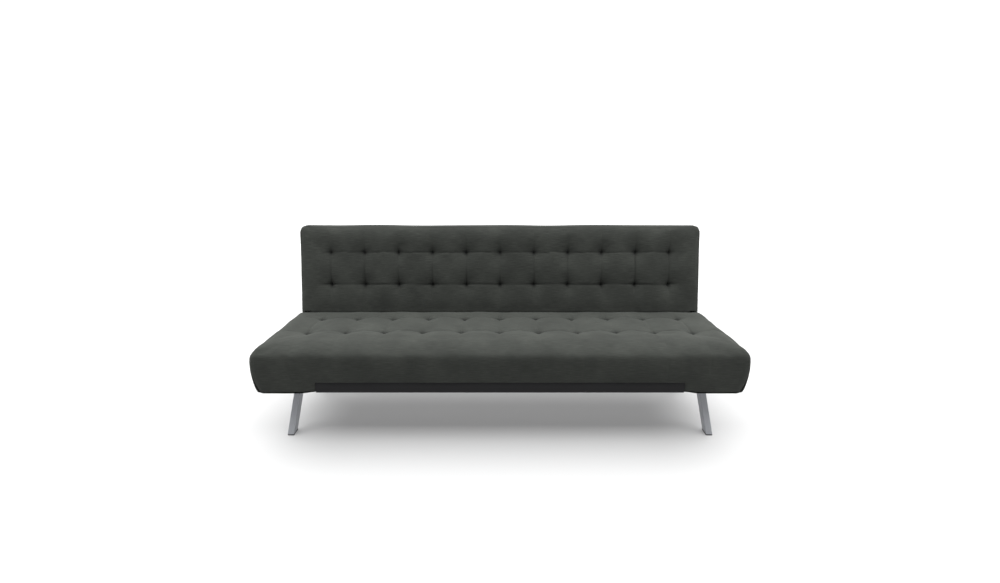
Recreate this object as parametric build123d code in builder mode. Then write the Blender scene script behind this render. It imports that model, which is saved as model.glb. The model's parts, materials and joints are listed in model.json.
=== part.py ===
from build123d import *
import math
import os

# Click-clack sofa bed. Millimetres, +Z up, the front faces -Y, the floor is Z = 0.
# The crease is the line where the plane of the seat's top meets the plane of the back's front.

# Overall sizes
WIDTH = 1800.0
SEAT_FRONT = 478.0  # crease to the seat's front face
SEAT_REAR_GAP = 12.0  # crease to the seat's rear face
SEAT_THICKNESS = 178.0
BACK_TOP = 378.0  # crease to the top end of the back
BACK_TAIL = 34.0  # how far the back goes on below the crease
BACK_THICKNESS = 130.0
CREASE_HEIGHT = 382.0
SEAT_SLOPE = 3.0  # degrees, the rear is the lower end
BACK_LEAN = 18.0  # degrees from upright

# Upholstery
CLOTH = 1.5
CLOTH_GAP = 0.3  # between the cloth and the foam under it
SEAT_FOAM_TOP = 60.0
BACK_FOAM_FRONT = 52.0
FOAM_FRONT = 32.0
FOAM_REAR = 22.0
FOAM_SIDE = 17.0
FOAM_END = 20.0  # at the back's top and bottom ends
FOAM_HEM = 4.0  # the foam ends this far above the seat's underside
PAD = 3.0
EDGE_RADIUS = 20.0
SEAT_CORNER_RADIUS = 34.0
BACK_CORNER_RADIUS = 22.0
STEP = 0.3  # clearance between pieces that face each other

# Tufts: columns share one pitch from side to side
TUFT_COLUMNS = 11
TUFT_SIDE_INSET = 142.0
SEAT_TUFT_ROWS = (-281.0, -113.0)  # from the crease along the seat
BACK_TUFT_ROWS = (108.0, 251.0)  # from the crease up the back
TUFT_DEPTH = 24.0  # the tie's head lies this far under the surface
TIE_RADIUS = 1.0
TIE_HOLE_RADIUS = 1.6
TUFT_WASHER_RADIUS = 11.0
TUFT_WASHER = 1.5

# Timber frame
RAIL = 22.0
FRAME_RECESS = 9.4  # from the seat's underside up to the dust cover
CROSS_RAIL = 30.0
CROSS_RAIL_HEIGHT = 45.0
CROSS_RAIL_COUNT = 3
BACK_FRAME_RECESS = 4.9  # from the back's rear face to the rails
BACK_CROSS_RAIL_DEPTH = 26.0
HINGE_POCKET = 22.0  # room for the hinge between a side rail and the side foam
LEG_BLOCK_WIDTH = 130.0
LEG_BLOCK_LENGTH = 140.0
LEG_BLOCK_HEIGHT = 40.0
SHEET = 1.2  # dust cover and rear panel
REAR_PANEL_INSET = 22.0  # the rear panel's edge to the back's sides and ends

# Zigzag springs
SPRING_COUNT = 9
SPRING_WIRE = 1.8  # radius
SPRING_HALF_WIDTH = 22.0
SPRING_PITCH = 24.0  # from one cross run to the next
SPRING_END_INSET = 7.0  # where the wire ends on the rail
SPRING_SIDE_INSET = 150.0
CLIP_WIDTH = 62.0
CLIP_LENGTH = 16.0
CLIP_WALL = 1.2

# Front strip: the hem is notched between the front legs and a dark board shows there
STRIP_SIDE_INSET = 222.0
STRIP_HEIGHT = 42.0
STRIP_BOARD = 8.0
STRIP_RECESS = 14.0  # from the front face to the board

# Legs: rectangular tube, leaning in towards the seat's middle
LEG_WIDTH = 25.0
LEG_DEPTH = 42.0
LEG_WALL = 2.0
LEG_SIDE_INSET = 55.5  # foot to the sofa's side
FRONT_FOOT = 417.0  # crease to the front edge of the front foot
FRONT_LEAN = 15.0  # degrees, front to rear
REAR_LEAN = 24.0
LEG_SPLAY = 12.0  # degrees, sideways
LEG_PLATE = 4.0
LEG_PLATE_WIDTH = 84.0
LEG_PLATE_LENGTH = 96.0
FOOT_HEIGHT = 5.0
FOOT_LIP = 1.0

# Fasteners
BOLT_RADIUS = 3.0
BOLT_HEAD_RADIUS = 6.0
BOLT_HEAD = 3.0
BOLT_HOLE_RADIUS = 3.1
BOLT_INSET = 9.0  # from a plate's edge

# Click-clack hinge
PIVOT_DEPTH = 32.0  # under the seat's plane and behind the back's plane alike
PIVOT_RADIUS = 5.0
PIVOT_HOLE_RADIUS = 5.06
RIVET_HEAD_RADIUS = 9.0
RIVET_HEAD = 2.2
HINGE_PLATE = 3.0
HINGE_ARM = 4.0
HINGE_WASHER = 1.0
HINGE_WASHER_RADIUS = 8.5
HINGE_SLIDE_GAP = 0.1  # beside each washer
HINGE_EYE_RADIUS = 14.0
HINGE_FOOT_LENGTH = 92.0
HINGE_FOOT_HEIGHT = 40.0
NOTCH_ANGLE = 15.0
NOTCH_COUNT = 7
FORWARD_NOTCHES = 1  # positions in front of the sitting one
RATCHET_TIP_RADIUS = 28.0
RATCHET_ROOT_RADIUS = 22.5
RATCHET_HUB_RADIUS = 16.0
TOOTH_TIP = 2.0
TOOTH_ROOT = 3.2
PAWL_NOSE_ANGLE = 215.0
PAWL_PIN_REACH = 50.0
PAWL_PIN_ANGLE = 262.0
PAWL_PIN_RADIUS = 3.0
PAWL_PIN_HEAD_RADIUS = 5.0
PAWL_PIN_HEAD = 1.5
PAWL_EYE_RADIUS = 7.0
PAWL_HEEL_REACH = 33.0  # the pawl's outer end, from the pivot
PAWL_HEEL_RADIUS = 4.0
PAWL_NOSE_REACH = 23.3  # the nose's tip when it is down in a notch
PAWL_NOSE_TIP = 1.4
PAWL_NOSE_ROOT = 4.0
PAWL_LIFT = 9.0  # degrees that the pawl is held clear of the teeth
PAWL_SPRING_WIRE = 0.6
PAWL_SPRING_RADIUS = 4.6
PAWL_SPRING_TURNS = 3
PAWL_SPRING_PITCH = 1.4
SLOT_MARGIN = 6.0  # room in the upholstery round a hinge
HINGE_NOTCH = 19.0  # how far the slot notches the back's tail right through

# Places worked out from the sizes above
slope = math.radians(SEAT_SLOPE)
lean = math.radians(BACK_LEAN)
FOLD_ANGLE = 90.0 - BACK_LEAN + SEAT_SLOPE
front_edge = -SEAT_FRONT * math.cos(slope) - SEAT_THICKNESS * math.sin(slope)
rear_edge = BACK_TOP * math.sin(lean) + BACK_THICKNESS * math.cos(lean)
CREASE_Y = -(front_edge + rear_edge) / 2
crease = Vector(0, CREASE_Y, CREASE_HEIGHT)
SEAT = Plane(origin=crease, x_dir=(1, 0, 0), z_dir=(0, math.sin(slope), math.cos(slope)))
BACK = Plane(origin=crease, x_dir=(1, 0, 0), z_dir=(0, -math.cos(lean), math.sin(lean)))
pivot_offset = PIVOT_DEPTH * math.tan(math.radians(FOLD_ANGLE / 2))
PIVOT = SEAT.from_local_coords((0, pivot_offset, -PIVOT_DEPTH))

half = WIDTH / 2
skin = CLOTH + CLOTH_GAP
tuft_pitch = (WIDTH - 2 * TUFT_SIDE_INSET) / (TUFT_COLUMNS - 1)
spring_pitch = (WIDTH - 2 * SPRING_SIDE_INSET) / (SPRING_COUNT - 1)
cavity_side = half - skin - FOAM_SIDE
rail_side = cavity_side - HINGE_POCKET
inner_side = rail_side - RAIL

seat_front = -SEAT_FRONT
seat_rear = -SEAT_REAR_GAP
seat_cavity_front = seat_front + skin + FOAM_FRONT
seat_cavity_rear = seat_rear - skin - FOAM_REAR
seat_foam_under = -skin - SEAT_FOAM_TOP
seat_pad_under = seat_foam_under - CLOTH_GAP - PAD
seat_washer_under = seat_pad_under - CLOTH_GAP - TUFT_WASHER
seat_spring_plane = seat_washer_under - CLOTH_GAP - SPRING_WIRE
seat_rail_top = seat_spring_plane - SPRING_WIRE - STEP
seat_rail_under = -SEAT_THICKNESS + FRAME_RECESS + SHEET + STEP
seat_rail_height = seat_rail_top - seat_rail_under
seat_front_rail = seat_cavity_front + RAIL
seat_rear_rail = seat_cavity_rear - RAIL
sheet_under = seat_rail_under - STEP - SHEET

back_cavity_top = BACK_TOP - skin - FOAM_END
back_cavity_bottom = -BACK_TAIL + skin + FOAM_END
back_middle = (BACK_TOP - BACK_TAIL) / 2
back_foam_under = -skin - BACK_FOAM_FRONT
back_pad_under = back_foam_under - CLOTH_GAP - PAD
back_washer_under = back_pad_under - CLOTH_GAP - TUFT_WASHER
back_spring_plane = back_washer_under - CLOTH_GAP - SPRING_WIRE
back_rail_top = back_spring_plane - SPRING_WIRE - STEP
back_rail_under = -BACK_THICKNESS + BACK_FRAME_RECESS
back_rail_depth = back_rail_top - back_rail_under

hinge_inner = rail_side + STEP
arm_inner = hinge_inner + HINGE_PLATE + HINGE_WASHER + 2 * HINGE_SLIDE_GAP
arm_outer = arm_inner + HINGE_ARM
outer_plate = arm_outer + HINGE_WASHER + 2 * HINGE_SLIDE_GAP
hinge_outer = outer_plate + HINGE_PLATE
slot_inner = hinge_inner - RIVET_HEAD - SLOT_MARGIN
slot_outer = hinge_outer + RIVET_HEAD + SLOT_MARGIN

os.makedirs("parts", exist_ok=True)


def save(builder, name):
    """Label a finished piece and write its STEP file."""
    builder.part.label = name
    export_step(builder.part, "parts/" + name + ".step")


def rounded_slab(plane, side, low, high, floor, top, corner, edge):
    """A slab on a plane with rounded upright corners and a rounded edge round its top face."""
    with BuildPart() as slab:
        with BuildSketch(plane.offset(floor)):
            with Locations((0, (low + high) / 2)):
                RectangleRounded(2 * side, high - low, corner)
        extrude(amount=top - floor)
        fillet(slab.faces().sort_by(Axis(plane.origin, plane.z_dir))[-1].edges(), edge)
    return slab.part


def side_plane(base, side, x):
    """The plane X = x on one side, with the base plane's depth across and its height up."""
    return Plane(origin=base.origin + Vector(side * x, 0, 0), x_dir=base.y_dir, z_dir=(1, 0, 0))


def both_sides(x):
    """The same place on the left and on the right."""
    return (-x, x)


def tuft_places(rows):
    """Column by row places of the tufts on a cushion's own plane."""
    first = -(TUFT_COLUMNS - 1) / 2
    return [((first + column) * tuft_pitch, row) for row in rows for column in range(TUFT_COLUMNS)]


def spring_places(middle):
    """One place for each zigzag spring, side by side."""
    first = -(SPRING_COUNT - 1) / 2
    return [((first + number) * spring_pitch, middle) for number in range(SPRING_COUNT)]


def cross_rail_places(middle):
    """Evenly spread places between the side rails."""
    spread = 2 * inner_side / (CROSS_RAIL_COUNT + 1)
    first = -(CROSS_RAIL_COUNT - 1) / 2
    return [((first + number) * spread, middle) for number in range(CROSS_RAIL_COUNT)]


def hinge_slots(plane, low, high, floor, top):
    """A block on each side that leaves room for a hinge."""
    with BuildPart() as slots:
        with BuildSketch(plane.offset(floor)):
            with Locations(*[(x, (low + high) / 2) for x in both_sides((slot_inner + slot_outer) / 2)]):
                Rectangle(slot_outer - slot_inner, high - low)
        extrude(amount=top - floor)
    return slots.part


# Seat upholstery
seat_slot_front = seat_cavity_rear - HINGE_FOOT_LENGTH
seat_slot_top = -PIVOT_DEPTH + HINGE_EYE_RADIUS + SLOT_MARGIN
seat_slots = hinge_slots(
    SEAT, seat_slot_front, seat_rear + STEP, -SEAT_THICKNESS - STEP, seat_slot_top
)
strip_half = half - STRIP_SIDE_INSET

with BuildPart() as seat_cover:
    add(rounded_slab(SEAT, half, seat_front, seat_rear, -SEAT_THICKNESS, 0,
                     SEAT_CORNER_RADIUS, EDGE_RADIUS))
    add(rounded_slab(SEAT, half - CLOTH, seat_front + CLOTH, seat_rear - CLOTH,
                     -SEAT_THICKNESS - STEP, -CLOTH, SEAT_CORNER_RADIUS - CLOTH, EDGE_RADIUS - CLOTH),
        mode=Mode.SUBTRACT)
    with BuildSketch(SEAT.offset(-SEAT_THICKNESS - STEP)):
        with Locations((0, seat_front)):
            Rectangle(2 * strip_half, 2 * FOAM_FRONT)
    extrude(amount=STRIP_HEIGHT + STEP, mode=Mode.SUBTRACT)
    add(seat_slots, mode=Mode.SUBTRACT)
save(seat_cover, "seat_cover")

with BuildPart() as seat_foam:
    add(rounded_slab(SEAT, half - skin, seat_front + skin, seat_rear - skin, -SEAT_THICKNESS + FOAM_HEM,
                     -skin, SEAT_CORNER_RADIUS - skin, EDGE_RADIUS - skin))
    with BuildSketch(SEAT.offset(-SEAT_THICKNESS)):
        with Locations((0, (seat_cavity_front + seat_cavity_rear) / 2)):
            Rectangle(2 * cavity_side, seat_cavity_rear - seat_cavity_front)
    extrude(amount=SEAT_THICKNESS + seat_foam_under, mode=Mode.SUBTRACT)
    with BuildSketch(SEAT.offset(-SEAT_THICKNESS)):
        with Locations((0, seat_front)):
            Rectangle(2 * (strip_half + STEP), 2 * (FOAM_FRONT + skin + STEP))
    extrude(amount=STRIP_HEIGHT + CLOTH, mode=Mode.SUBTRACT)
    add(seat_slots, mode=Mode.SUBTRACT)
    with BuildSketch(SEAT.offset(seat_foam_under)):
        with Locations(*tuft_places(SEAT_TUFT_ROWS)):
            Circle(TIE_HOLE_RADIUS)
    extrude(amount=-seat_foam_under - TUFT_DEPTH + STEP, mode=Mode.SUBTRACT)
save(seat_foam, "seat_foam")

with BuildPart() as seat_felt_pad:
    with BuildSketch(SEAT.offset(seat_pad_under)):
        with Locations((0, (seat_cavity_front + seat_slot_front) / 2)):
            Rectangle(2 * (cavity_side - STEP), seat_slot_front - seat_cavity_front - 2 * STEP)
        with Locations((0, (seat_slot_front + seat_cavity_rear) / 2 - STEP)):
            Rectangle(2 * (slot_inner - STEP), seat_cavity_rear - seat_slot_front)
        with Locations(*tuft_places(SEAT_TUFT_ROWS)):
            Circle(TIE_HOLE_RADIUS, mode=Mode.SUBTRACT)
    extrude(amount=PAD)
save(seat_felt_pad, "seat_felt_pad")


def tuft_ties(plane, rows, washer_under):
    """Short cords that hold each tuft down, headed at the top and knotted at the washer."""
    with BuildPart() as ties:
        with BuildSketch(plane.offset(washer_under)):
            with Locations(*tuft_places(rows)):
                Circle(TIE_RADIUS)
        extrude(amount=-washer_under - TUFT_DEPTH)
    return ties


def tuft_washers(plane, rows, washer_under):
    """Round washers under the felt pad, one for each tie."""
    with BuildPart() as washers:
        with BuildSketch(plane.offset(washer_under)):
            with Locations(*tuft_places(rows)):
                Circle(TUFT_WASHER_RADIUS)
                Circle(TIE_HOLE_RADIUS, mode=Mode.SUBTRACT)
        extrude(amount=TUFT_WASHER)
    return washers


save(tuft_ties(SEAT, SEAT_TUFT_ROWS, seat_washer_under), "seat_tuft_ties")
save(tuft_washers(SEAT, SEAT_TUFT_ROWS, seat_washer_under), "seat_tuft_washers")
save(tuft_ties(BACK, BACK_TUFT_ROWS, back_washer_under), "back_tuft_ties")
save(tuft_washers(BACK, BACK_TUFT_ROWS, back_washer_under), "back_tuft_washers")


def zigzag_springs(plane, low, high, height):
    """Zigzag wire springs between two rails: straight cross runs joined by half-round bends."""
    runs = int((high - low) / SPRING_PITCH)
    start = (low + high) / 2 - runs * SPRING_PITCH / 2
    bend = SPRING_PITCH / 2
    reach = SPRING_HALF_WIDTH - bend
    with BuildPart() as springs:
        for x, _ in spring_places(0):
            with BuildLine(plane.offset(height)) as path:
                Line((x - reach, start), (x + reach, start))
                for run in range(runs):
                    side = 1 if run % 2 == 0 else -1
                    level = start + run * SPRING_PITCH
                    above = level + SPRING_PITCH
                    ThreePointArc(
                        (x + side * reach, level),
                        (x + side * (reach + bend), level + bend),
                        (x + side * reach, above),
                    )
                    Line((x + side * reach, above), (x - side * reach, above))
            first = plane.offset(height).from_local_coords((x - reach, start, 0))
            with BuildSketch(Plane(origin=first, x_dir=plane.y_dir, z_dir=(1, 0, 0))):
                Circle(SPRING_WIRE)
            sweep(path=path.wire())
    return springs


def spring_clips(plane, rails, rail_top):
    """Bent steel clips nailed on the rails, each holding the end run of one spring."""
    tall = 2 * SPRING_WIRE + 2 * STEP + CLIP_WALL
    with BuildPart() as clips:
        for x, _ in spring_places(0):
            for edge, inward in rails:
                with BuildSketch(side_plane(plane, 1, x - CLIP_WIDTH / 2)):
                    with Locations((edge, rail_top + STEP / 2 + tall / 2)):
                        Rectangle(CLIP_LENGTH, tall)
                    with Locations((edge + inward * CLIP_WALL, rail_top + STEP / 2 + (tall - CLIP_WALL) / 2)):
                        Rectangle(CLIP_LENGTH, tall - CLIP_WALL, mode=Mode.SUBTRACT)
                extrude(amount=CLIP_WIDTH)
    return clips


seat_spring_low = seat_cavity_front + SPRING_END_INSET
seat_spring_high = seat_cavity_rear - SPRING_END_INSET
save(zigzag_springs(SEAT, seat_spring_low, seat_spring_high, seat_spring_plane), "seat_springs")
back_spring_low = back_cavity_bottom + SPRING_END_INSET
back_spring_high = back_cavity_top - SPRING_END_INSET
save(zigzag_springs(BACK, back_spring_low, back_spring_high, back_spring_plane), "back_springs")


def clip_rails(low, high):
    """Where the two end runs of the springs lie, with the direction to the spring's middle."""
    runs = int((high - low) / SPRING_PITCH)
    reach = runs * SPRING_PITCH / 2
    middle = (low + high) / 2
    return ((middle - reach, 1), (middle + reach, -1))


save(spring_clips(SEAT, clip_rails(seat_spring_low, seat_spring_high), seat_rail_top), "seat_spring_clips")
save(spring_clips(BACK, clip_rails(back_spring_low, back_spring_high), back_rail_top), "back_spring_clips")


def rail(plane, places, wide, long, floor, tall):
    """Square-cut timber, one length at each place on the plane."""
    with BuildPart() as timber:
        with BuildSketch(plane.offset(floor)):
            with Locations(*places):
                Rectangle(wide, long)
        extrude(amount=tall)
        upright = timber.edges().filter_by(Axis(plane.origin, plane.z_dir))
        chamfer(upright, 1)
    return timber


# Seat frame
seat_inside = seat_rear_rail - seat_front_rail - 2 * STEP
seat_inside_middle = (seat_front_rail + seat_rear_rail) / 2
seat_rails_length = seat_cavity_rear - seat_cavity_front - 2 * STEP
seat_rails_middle = (seat_cavity_front + seat_cavity_rear) / 2
end_rail_width = 2 * (inner_side - STEP)
save(rail(SEAT, [(0, seat_cavity_front + STEP + RAIL / 2)], end_rail_width, RAIL - STEP,
          seat_rail_under, seat_rail_height), "seat_front_rail")
save(rail(SEAT, [(0, seat_cavity_rear - STEP - RAIL / 2)], end_rail_width, RAIL - STEP,
          seat_rail_under, seat_rail_height), "seat_rear_rail")
save(rail(SEAT, cross_rail_places(seat_inside_middle), CROSS_RAIL, seat_inside,
          seat_rail_under, CROSS_RAIL_HEIGHT), "seat_cross_rails")

block_x = inner_side - STEP - LEG_BLOCK_WIDTH / 2
front_block_y = seat_front_rail + STEP + LEG_BLOCK_LENGTH / 2
rear_block_y = seat_rear_rail - STEP - LEG_BLOCK_LENGTH / 2

# Each leg has its side, its lean towards the rear and the middle of its foot
plate_top = sheet_under - STEP
rear_head = SEAT.from_local_coords((0, rear_block_y, plate_top))
front_foot_y = CREASE_Y - FRONT_FOOT + LEG_DEPTH / 2
rear_foot_y = rear_head.Y + rear_head.Z * math.tan(math.radians(REAR_LEAN))
foot_x = half - LEG_SIDE_INSET - LEG_WIDTH / 2
LEGS = {
    "front_left": (-1, FRONT_LEAN, front_foot_y),
    "front_right": (1, FRONT_LEAN, front_foot_y),
    "rear_left": (-1, -REAR_LEAN, rear_foot_y),
    "rear_right": (1, -REAR_LEAN, rear_foot_y),
}


def leg_direction(side, tilt):
    """Upwards along a leg: inwards by the splay and to the rear by the tilt."""
    return Vector(-side * math.tan(math.radians(LEG_SPLAY)), math.tan(math.radians(tilt)), 1)


def leg_head(side, tilt, foot_y):
    """Where a leg's middle line meets the seat's underside, on the seat's plane."""
    along = leg_direction(side, tilt)
    foot = Vector(side * foot_x, foot_y, 0)
    level = SEAT.origin + SEAT.z_dir * plate_top
    reach = (level - foot).dot(SEAT.z_dir) / along.dot(SEAT.z_dir)
    return SEAT.to_local_coords(foot + along * reach)


heads = {name: leg_head(*leg) for name, leg in LEGS.items()}


def bolt_places(name):
    """Four bolts at the corners of a leg's plate."""
    reach_x = LEG_PLATE_WIDTH / 2 - BOLT_INSET
    reach_y = LEG_PLATE_LENGTH / 2 - BOLT_INSET
    x, y = heads[name].X, heads[name].Y
    return [(x + i * reach_x, y + j * reach_y) for i in (-1, 1) for j in (-1, 1)]


all_bolts = [place for name in LEGS for place in bolt_places(name)]

with BuildPart() as seat_leg_blocks:
    with BuildSketch(SEAT.offset(seat_rail_under)):
        for x in both_sides(block_x):
            with Locations((x, front_block_y), (x, rear_block_y)):
                Rectangle(LEG_BLOCK_WIDTH, LEG_BLOCK_LENGTH)
        with Locations(*all_bolts):
            Circle(BOLT_HOLE_RADIUS, mode=Mode.SUBTRACT)
    extrude(amount=LEG_BLOCK_HEIGHT)
save(seat_leg_blocks, "seat_leg_blocks")

with BuildPart() as seat_dust_cover:
    with BuildSketch(SEAT.offset(sheet_under)):
        with Locations((0, seat_rails_middle)):
            Rectangle(2 * (rail_side - STEP), seat_rails_length)
        with Locations(*all_bolts):
            Circle(BOLT_HOLE_RADIUS, mode=Mode.SUBTRACT)
    extrude(amount=SHEET)
save(seat_dust_cover, "seat_dust_cover")

# Dark board that closes the notch in the front hem
strip_front = seat_front + STRIP_RECESS
with BuildPart() as seat_front_board:
    with BuildSketch(SEAT.offset(-SEAT_THICKNESS + STEP)):
        with Locations((0, strip_front + STRIP_BOARD / 2)):
            Rectangle(2 * (strip_half - STEP), STRIP_BOARD)
        with Locations((0, (strip_front + STRIP_BOARD + seat_cavity_front) / 2)):
            Rectangle(2 * (strip_half - STEP), seat_cavity_front - strip_front - STRIP_BOARD)
    extrude(amount=STRIP_HEIGHT - 2 * STEP)
save(seat_front_board, "seat_front_board")

with BuildPart() as leg_bolts:
    with BuildSketch(SEAT.offset(plate_top - LEG_PLATE - STEP)):
        with Locations(*all_bolts):
            Circle(BOLT_RADIUS)
    extrude(amount=LEG_BLOCK_HEIGHT)
    with BuildSketch(SEAT.offset(plate_top - LEG_PLATE - STEP - BOLT_HEAD)):
        with Locations(*all_bolts):
            Circle(BOLT_HEAD_RADIUS)
    extrude(amount=BOLT_HEAD)
save(leg_bolts, "leg_bolts")

with BuildPart() as leg_plates:
    with BuildSketch(SEAT.offset(plate_top - LEG_PLATE)):
        for name, head in heads.items():
            with Locations((head.X, head.Y)):
                RectangleRounded(LEG_PLATE_WIDTH, LEG_PLATE_LENGTH, BOLT_HEAD_RADIUS)
        with Locations(*all_bolts):
            Circle(BOLT_HOLE_RADIUS, mode=Mode.SUBTRACT)
    extrude(amount=LEG_PLATE)
save(leg_plates, "leg_plates")

for name, (side, tilt, foot_y) in LEGS.items():
    along = leg_direction(side, tilt)
    tube_length = along.length * CREASE_HEIGHT
    with BuildPart() as leg:
        with BuildSketch(Plane.XY.offset(FOOT_HEIGHT)):
            with Locations((side * foot_x, foot_y)):
                RectangleRounded(LEG_WIDTH, LEG_DEPTH, LEG_WALL)
                Rectangle(LEG_WIDTH - 2 * LEG_WALL, LEG_DEPTH - 2 * LEG_WALL, mode=Mode.SUBTRACT)
        extrude(amount=tube_length, dir=along.normalized())
        split(bisect_by=SEAT.offset(plate_top - LEG_PLATE), keep=Keep.BOTTOM)
    save(leg, "leg_" + name)

    with BuildPart() as foot:
        with BuildSketch(Plane.XY):
            with Locations((side * foot_x, foot_y)):
                RectangleRounded(LEG_WIDTH, LEG_DEPTH, LEG_WALL)
        extrude(amount=FOOT_HEIGHT)
        with BuildSketch(Plane.XY.offset(FOOT_HEIGHT)):
            with Locations((side * foot_x, foot_y)):
                inside = 2 * (LEG_WALL + FOOT_LIP)
                Rectangle(LEG_WIDTH - inside, LEG_DEPTH - inside)
        extrude(amount=2 * FOOT_LIP)
    save(foot, "foot_" + name)

# Back upholstery
back_slot_top = back_cavity_bottom + HINGE_FOOT_LENGTH + SLOT_MARGIN
back_slots = hinge_slots(
    BACK, -BACK_TAIL - STEP, back_slot_top, -BACK_THICKNESS - STEP, seat_slot_top
) + hinge_slots(
    BACK, -BACK_TAIL - STEP, HINGE_NOTCH - BACK_TAIL, -BACK_THICKNESS - STEP, STEP
)

with BuildPart() as back_cover:
    add(rounded_slab(BACK, half, -BACK_TAIL, BACK_TOP, -BACK_THICKNESS, 0,
                     BACK_CORNER_RADIUS, EDGE_RADIUS))
    add(rounded_slab(BACK, half - CLOTH, -BACK_TAIL + CLOTH, BACK_TOP - CLOTH,
                     -BACK_THICKNESS - STEP, -CLOTH, BACK_CORNER_RADIUS - CLOTH, EDGE_RADIUS - CLOTH),
        mode=Mode.SUBTRACT)
    add(back_slots, mode=Mode.SUBTRACT)
save(back_cover, "back_cover")

with BuildPart() as back_foam:
    add(rounded_slab(BACK, half - skin, -BACK_TAIL + skin, BACK_TOP - skin, back_rail_under,
                     -skin, BACK_CORNER_RADIUS - skin, EDGE_RADIUS - skin))
    with BuildSketch(BACK.offset(back_rail_under)):
        with Locations((0, (back_cavity_bottom + back_cavity_top) / 2)):
            Rectangle(2 * cavity_side, back_cavity_top - back_cavity_bottom)
    extrude(amount=back_foam_under - back_rail_under, mode=Mode.SUBTRACT)
    add(back_slots, mode=Mode.SUBTRACT)
    with BuildSketch(BACK.offset(back_foam_under)):
        with Locations(*tuft_places(BACK_TUFT_ROWS)):
            Circle(TIE_HOLE_RADIUS)
    extrude(amount=-back_foam_under - TUFT_DEPTH + STEP, mode=Mode.SUBTRACT)
save(back_foam, "back_foam")

with BuildPart() as back_felt_pad:
    with BuildSketch(BACK.offset(back_pad_under)):
        with Locations((0, (back_slot_top + back_cavity_top) / 2)):
            Rectangle(2 * (cavity_side - STEP), back_cavity_top - back_slot_top - 2 * STEP)
        with Locations((0, (back_cavity_bottom + back_slot_top) / 2 + STEP)):
            Rectangle(2 * (slot_inner - STEP), back_slot_top - back_cavity_bottom)
        with Locations(*tuft_places(BACK_TUFT_ROWS)):
            Circle(TIE_HOLE_RADIUS, mode=Mode.SUBTRACT)
    extrude(amount=PAD)
save(back_felt_pad, "back_felt_pad")

with BuildPart() as back_rear_panel:
    with BuildSketch(BACK.offset(-BACK_THICKNESS + STEP)):
        with Locations((0, back_middle)):
            RectangleRounded(2 * (half - REAR_PANEL_INSET),
                             BACK_TOP + BACK_TAIL - 2 * REAR_PANEL_INSET, BACK_CORNER_RADIUS)
    extrude(amount=SHEET)
save(back_rear_panel, "back_rear_panel")

# Back frame
back_rail_side = arm_inner - STEP
back_inner_side = back_rail_side - RAIL
back_end_width = 2 * (back_inner_side - STEP)
save(rail(BACK, [(0, back_cavity_top - STEP - RAIL / 2)], back_end_width, RAIL - STEP,
          back_rail_under, back_rail_depth), "back_top_rail")
save(rail(BACK, [(0, back_cavity_bottom + STEP + RAIL / 2)], back_end_width, RAIL - STEP,
          back_rail_under, back_rail_depth), "back_bottom_rail")
back_inside = back_cavity_top - back_cavity_bottom - 2 * (RAIL + STEP)
save(rail(BACK, cross_rail_places((back_cavity_top + back_cavity_bottom) / 2), CROSS_RAIL,
          back_inside - 2 * STEP, back_rail_under, BACK_CROSS_RAIL_DEPTH), "back_cross_rails")

# Hinge feet lie along the side rails, and two bolts hold each
seat_foot_rear = seat_cavity_rear - SLOT_MARGIN
seat_foot_front = seat_foot_rear - HINGE_FOOT_LENGTH + SLOT_MARGIN
seat_foot_top = seat_rail_top - SLOT_MARGIN
seat_foot_middle = ((seat_foot_front + seat_foot_rear) / 2, seat_foot_top - HINGE_FOOT_HEIGHT / 2)
back_foot_low = back_cavity_bottom + 2 * SLOT_MARGIN
back_foot_high = back_slot_top - SLOT_MARGIN
back_foot_middle = (
    (back_foot_low + back_foot_high) / 2, back_rail_top - SLOT_MARGIN - HINGE_FOOT_HEIGHT / 2
)


def foot_bolts(middle):
    """Two bolts along a hinge's foot."""
    reach = HINGE_FOOT_LENGTH / 4
    return [(middle[0] + step * reach, middle[1]) for step in (-1, 1)]


def side_rails(plane, outer, low, high, floor, tall, bolts):
    """The two side rails of a frame, drilled for the hinge's bolts."""
    with BuildPart() as rails:
        add(rail(plane, [(x, (low + high) / 2) for x in both_sides(outer - RAIL / 2)], RAIL,
                 high - low, floor, tall).part)
        with BuildSketch(side_plane(plane, 1, -half)):
            with Locations(*bolts):
                Circle(BOLT_HOLE_RADIUS)
        extrude(amount=WIDTH, mode=Mode.SUBTRACT)
    return rails


save(side_rails(SEAT, rail_side, seat_cavity_front + STEP, seat_cavity_rear - STEP, seat_rail_under,
                seat_rail_height, foot_bolts(seat_foot_middle)), "seat_side_rails")
save(side_rails(BACK, back_rail_side, back_cavity_bottom + STEP, back_cavity_top - STEP,
                back_rail_under, back_rail_depth, foot_bolts(back_foot_middle)), "back_side_rails")


def pivot_plane(side, x):
    """The plane X = x on one side, with its origin on the hinge's pivot and level axes."""
    return Plane(origin=(side * x, PIVOT.Y, PIVOT.Z), x_dir=(0, 1, 0), z_dir=(1, 0, 0))


def polar(reach, angle):
    """A place round the pivot, the angle counted from the rear upwards."""
    return (reach * math.cos(math.radians(angle)), reach * math.sin(math.radians(angle)))


def span(side, inner, outer):
    """The lower X and the thickness of a piece between two distances from the middle."""
    low = inner if side > 0 else outer
    return low, outer - inner


pivot_on_seat = (pivot_offset, -PIVOT_DEPTH)
pivot_on_back = (-pivot_offset, -PIVOT_DEPTH)
pin_place = polar(PAWL_PIN_REACH, PAWL_PIN_ANGLE)
pin_world = Vector(0, PIVOT.Y + pin_place[0], PIVOT.Z + pin_place[1])
pin_local = SEAT.to_local_coords(pin_world)
pin_on_seat = (pin_local.Y, pin_local.Z)


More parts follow.
